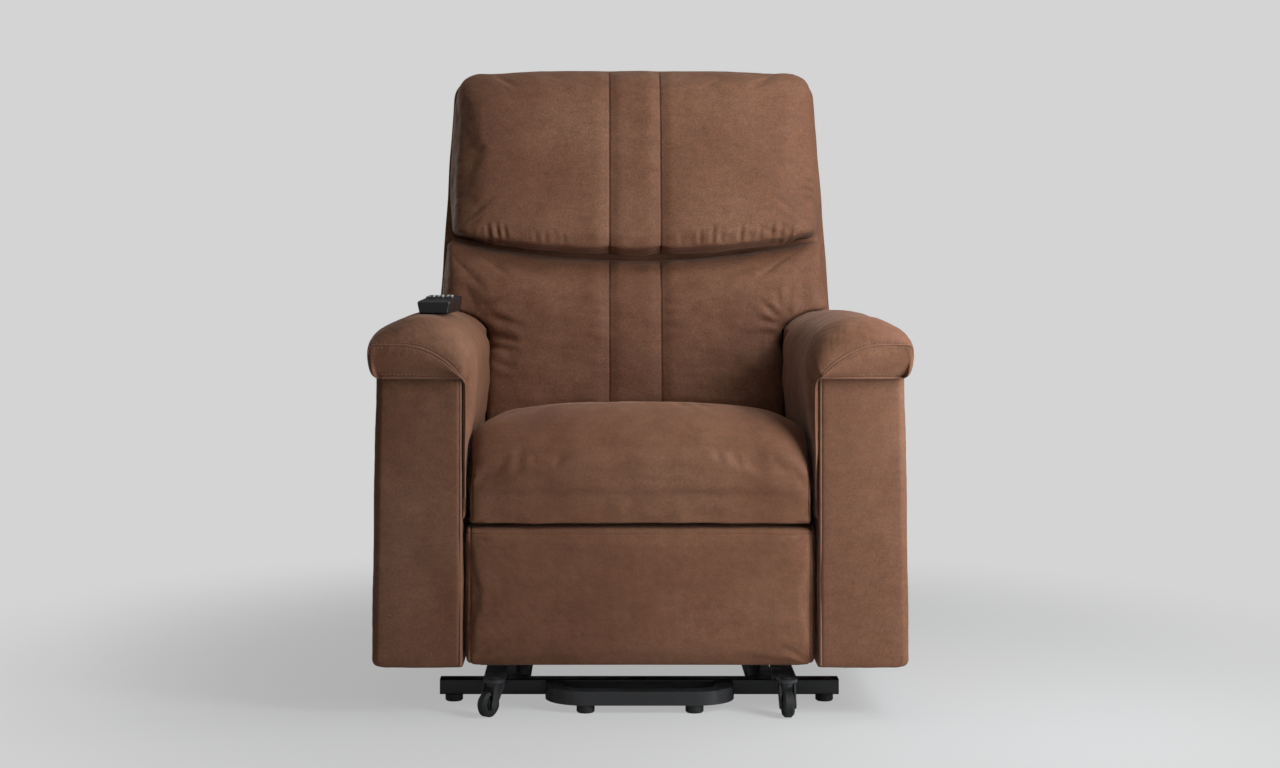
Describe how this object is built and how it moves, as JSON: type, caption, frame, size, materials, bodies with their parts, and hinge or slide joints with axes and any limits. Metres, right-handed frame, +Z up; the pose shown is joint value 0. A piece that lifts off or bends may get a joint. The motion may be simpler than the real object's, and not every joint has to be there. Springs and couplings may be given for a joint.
{
  "type": "lift recliner chair",
  "caption": "Padded armchair that reclines, puts out a footrest and tips forward to help its user stand, on a black steel lift base.",
  "frame": {"origin": "centre of the footprint on the floor", "axes": "+X to the viewer's right as one faces the chair, +Y to the rear, +Z up; the seat faces -Y"},
  "size_m": [0.86, 0.93, 1.0756],
  "materials": {
    "steel_black": "black powder coat, fine texture",
    "steel_grey": "dark grey powder coat",
    "zinc_pins": "zinc plated steel",
    "rod_steel": "ground steel rod",
    "tube_aluminium": "anodised aluminium tube",
    "spring_steel": "spring wire",
    "rubber_black": "moulded rubber",
    "plastic_black": "fine grained black plastic",
    "plastic_key": "dark grey plastic",
    "plywood": "raw plywood",
    "leather_cover": "soft brown suede-like cover over foam",
    "arm_cover": "brown cover over padded boards"
  },
  "bodies": {
    "base": {"base_front_bar": "steel_black", "base_rear_bar": "steel_black", "base_side_rails": "steel_black", "base_end_caps": "plastic_black", "base_loop": "steel_black", "base_feet": "rubber_black", "lift_floor_brackets": "steel_black", "caster_brackets": "steel_black", "lift_floor_pins": "zinc_pins"},
    "caster_swivel_left": {"caster_fork_left": "steel_black"},
    "caster_swivel_right": {"caster_fork_right": "steel_black"},
    "caster_roll_left": {"caster_wheel_left": "rubber_black"},
    "caster_roll_right": {"caster_wheel_right": "rubber_black"},
    "front_links": {"lift_front_links": "steel_grey", "lift_torque_tube": "steel_grey", "lift_lever_plates": "steel_grey"},
    "rear_links": {"lift_rear_links": "steel_grey"},
    "lift_actuator": {"lift_motor": "plastic_black", "lift_motor_tube": "tube_aluminium"},
    "lift_actuator_rod": {"lift_rod": "rod_steel"},
    "chassis": {"chassis_plate_left": "steel_grey", "chassis_plate_right": "steel_grey", "chassis_cross_tubes": "steel_grey", "lift_chassis_pins": "zinc_pins", "seat_frame_sides": "plywood", "seat_frame_rails": "plywood", "seat_springs": "spring_steel", "seat_cushion": "leather_cover", "arm_box_left": "arm_cover", "arm_box_right": "arm_cover", "arm_pad_left": "leather_cover", "arm_pad_right": "leather_cover", "arm_brackets": "steel_grey", "control_box": "plastic_black", "handset_shell": "plastic_black"},
    "footrest_main": {"foot_shaft": "steel_grey", "foot_main_links": "steel_grey"},
    "footrest_forward": {"foot_forward_links": "steel_grey"},
    "footrest_rear_guide": {"foot_rear_guides": "steel_grey"},
    "footrest_front_guide": {"foot_front_guides": "steel_grey"},
    "footrest": {"foot_board": "plywood", "foot_brackets": "steel_grey", "foot_pad": "leather_cover"},
    "foot_actuator": {"foot_motor": "plastic_black"},
    "foot_actuator_rod": {"foot_rod": "rod_steel"},
    "backrest": {"back_shell": "arm_cover", "back_posts": "plywood", "back_rails": "plywood", "back_springs": "spring_steel", "back_cushion_lower": "leather_cover", "back_cushion_upper": "leather_cover", "back_hinge_plates": "steel_grey", "back_crank_tube": "steel_grey"},
    "back_actuator": {"back_motor": "plastic_black"},
    "back_actuator_rod": {"back_rod": "rod_steel"},
    "key_lift": {"handset_key_lift": "plastic_key"},
    "key_back": {"handset_key_back": "plastic_key"},
    "key_foot": {"handset_key_foot": "plastic_key"}
  },
  "joints": [
    {"name": "lift", "type": "hinge", "parent": "base", "child": "front_links", "pos_m": [0, -0.218, 0.071], "axis": [1, 0, 0], "range_deg": [0, 60]},
    {"name": "chassis_tilt", "type": "hinge", "parent": "front_links", "child": "chassis", "pos_m": [0, 0.07, 0.134], "axis": [1, 0, 0], "range_deg": [-36.77, 0]},
    {"name": "rear_link_swing", "type": "hinge", "parent": "base", "child": "rear_links", "pos_m": [0, -0.147, 0.095], "axis": [1, 0, 0], "range_deg": [0, 53.46]},
    {"name": "lift_actuator_swing", "type": "hinge", "parent": "base", "child": "lift_actuator", "pos_m": [0, 0.235, 0.075], "axis": [1, 0, 0], "range_deg": [0, 3.42]},
    {"name": "lift_rod_swing", "type": "hinge", "parent": "front_links", "child": "lift_actuator_rod", "pos_m": [0, -0.163, 0.16626], "axis": [1, 0, 0], "range_deg": [-57.58, 0]},
    {"name": "footrest_out", "type": "hinge", "parent": "chassis", "child": "footrest_main", "pos_m": [0, -0.269, 0.275], "axis": [-1, 0, 0], "range_deg": [0, 110]},
    {"name": "forward_link_swing", "type": "hinge", "parent": "footrest_main", "child": "footrest_forward", "pos_m": [0, -0.185, 0.124], "axis": [-1, 0, 0], "range_deg": [-112.22, 0]},
    {"name": "footrest_turn", "type": "hinge", "parent": "footrest_forward", "child": "footrest", "pos_m": [0, -0.366, 0.24], "axis": [-1, 0, 0], "range_deg": [0, 92.22]},
    {"name": "rear_guide_swing", "type": "hinge", "parent": "chassis", "child": "footrest_rear_guide", "pos_m": [0, -0.207, 0.279], "axis": [-1, 0, 0], "range_deg": [0, 109.78]},
    {"name": "front_guide_swing", "type": "hinge", "parent": "footrest_main", "child": "footrest_front_guide", "pos_m": [0, -0.19, 0.162], "axis": [-1, 0, 0], "range_deg": [-112.13, 0]},
    {"name": "foot_actuator_swing", "type": "hinge", "parent": "chassis", "child": "foot_actuator", "pos_m": [0.09, 0.06, 0.25], "axis": [-1, 0, 0], "range_deg": [-3.73, 0]},
    {"name": "foot_rod_swing", "type": "hinge", "parent": "footrest_main", "child": "foot_actuator_rod", "pos_m": [0.09, -0.23809, 0.26672], "axis": [-1, 0, 0], "range_deg": [-113.73, 0]},
    {"name": "recline", "type": "hinge", "parent": "chassis", "child": "backrest", "pos_m": [0, 0.19568, 0.33], "axis": [-1, 0, 0], "range_deg": [0, 42]},
    {"name": "back_actuator_swing", "type": "hinge", "parent": "chassis", "child": "back_actuator", "pos_m": [-0.09, -0.14, 0.252], "axis": [-1, 0, 0], "range_deg": [0, 3.94]},
    {"name": "back_rod_swing", "type": "hinge", "parent": "backrest", "child": "back_actuator_rod", "pos_m": [-0.09, 0.25353, 0.26106], "axis": [-1, 0, 0], "range_deg": [-39.06, 0]},
    {"name": "caster_swivel_left", "type": "hinge", "parent": "base", "child": "caster_swivel_left", "pos_m": [-0.232, -0.424, 0.05], "axis": [0, 0, 1], "continuous": true},
    {"name": "caster_roll_left", "type": "hinge", "parent": "caster_swivel_left", "child": "caster_roll_left", "pos_m": [-0.24062, -0.43503, 0.02], "axis": [0.788, -0.6157, 0], "continuous": true},
    {"name": "caster_swivel_right", "type": "hinge", "parent": "base", "child": "caster_swivel_right", "pos_m": [0.232, -0.424, 0.05], "axis": [0, 0, 1], "continuous": true},
    {"name": "caster_roll_right", "type": "hinge", "parent": "caster_swivel_right", "child": "caster_roll_right", "pos_m": [0.23298, -0.43797, 0.02], "axis": [0.9976, 0.0698, 0], "continuous": true},
    {"name": "key_lift_tilt", "type": "hinge", "parent": "chassis", "child": "key_lift", "pos_m": [-0.34366, -0.27114, 0.65275], "axis": [0.9976, -0.0698, 0], "range_deg": [-6, 6], "stiffness_Nm_per_rad": 0.3},
    {"name": "key_back_tilt", "type": "hinge", "parent": "chassis", "child": "key_back", "pos_m": [-0.3287, -0.27219, 0.65275], "axis": [0.9976, -0.0698, 0], "range_deg": [-6, 6], "stiffness_Nm_per_rad": 0.3},
    {"name": "key_foot_tilt", "type": "hinge", "parent": "chassis", "child": "key_foot", "pos_m": [-0.31373, -0.27323, 0.65275], "axis": [0.9976, -0.0698, 0], "range_deg": [-6, 6], "stiffness_Nm_per_rad": 0.3}
  ],
  "couplings": [
    {"joint": "chassis_tilt", "follows": "lift", "ratio": -0.60454},
    {"joint": "rear_link_swing", "follows": "lift", "ratio": 0.88274},
    {"joint": "lift_actuator_swing", "follows": "lift", "ratio": 0.048683},
    {"joint": "lift_rod_swing", "follows": "lift", "ratio": -0.95132},
    {"joint": "forward_link_swing", "follows": "footrest_out", "ratio": -1.0157},
    {"joint": "footrest_turn", "follows": "footrest_out", "ratio": 0.83387},
    {"joint": "rear_guide_swing", "follows": "footrest_out", "ratio": 0.99349},
    {"joint": "front_guide_swing", "follows": "footrest_out", "ratio": -1.0148},
    {"joint": "foot_actuator_swing", "follows": "footrest_out", "ratio": -0.029345},
    {"joint": "foot_rod_swing", "follows": "footrest_out", "ratio": -1.0293},
    {"joint": "back_actuator_swing", "follows": "recline", "ratio": 0.081857},
    {"joint": "back_rod_swing", "follows": "recline", "ratio": -0.91814}
  ]
}
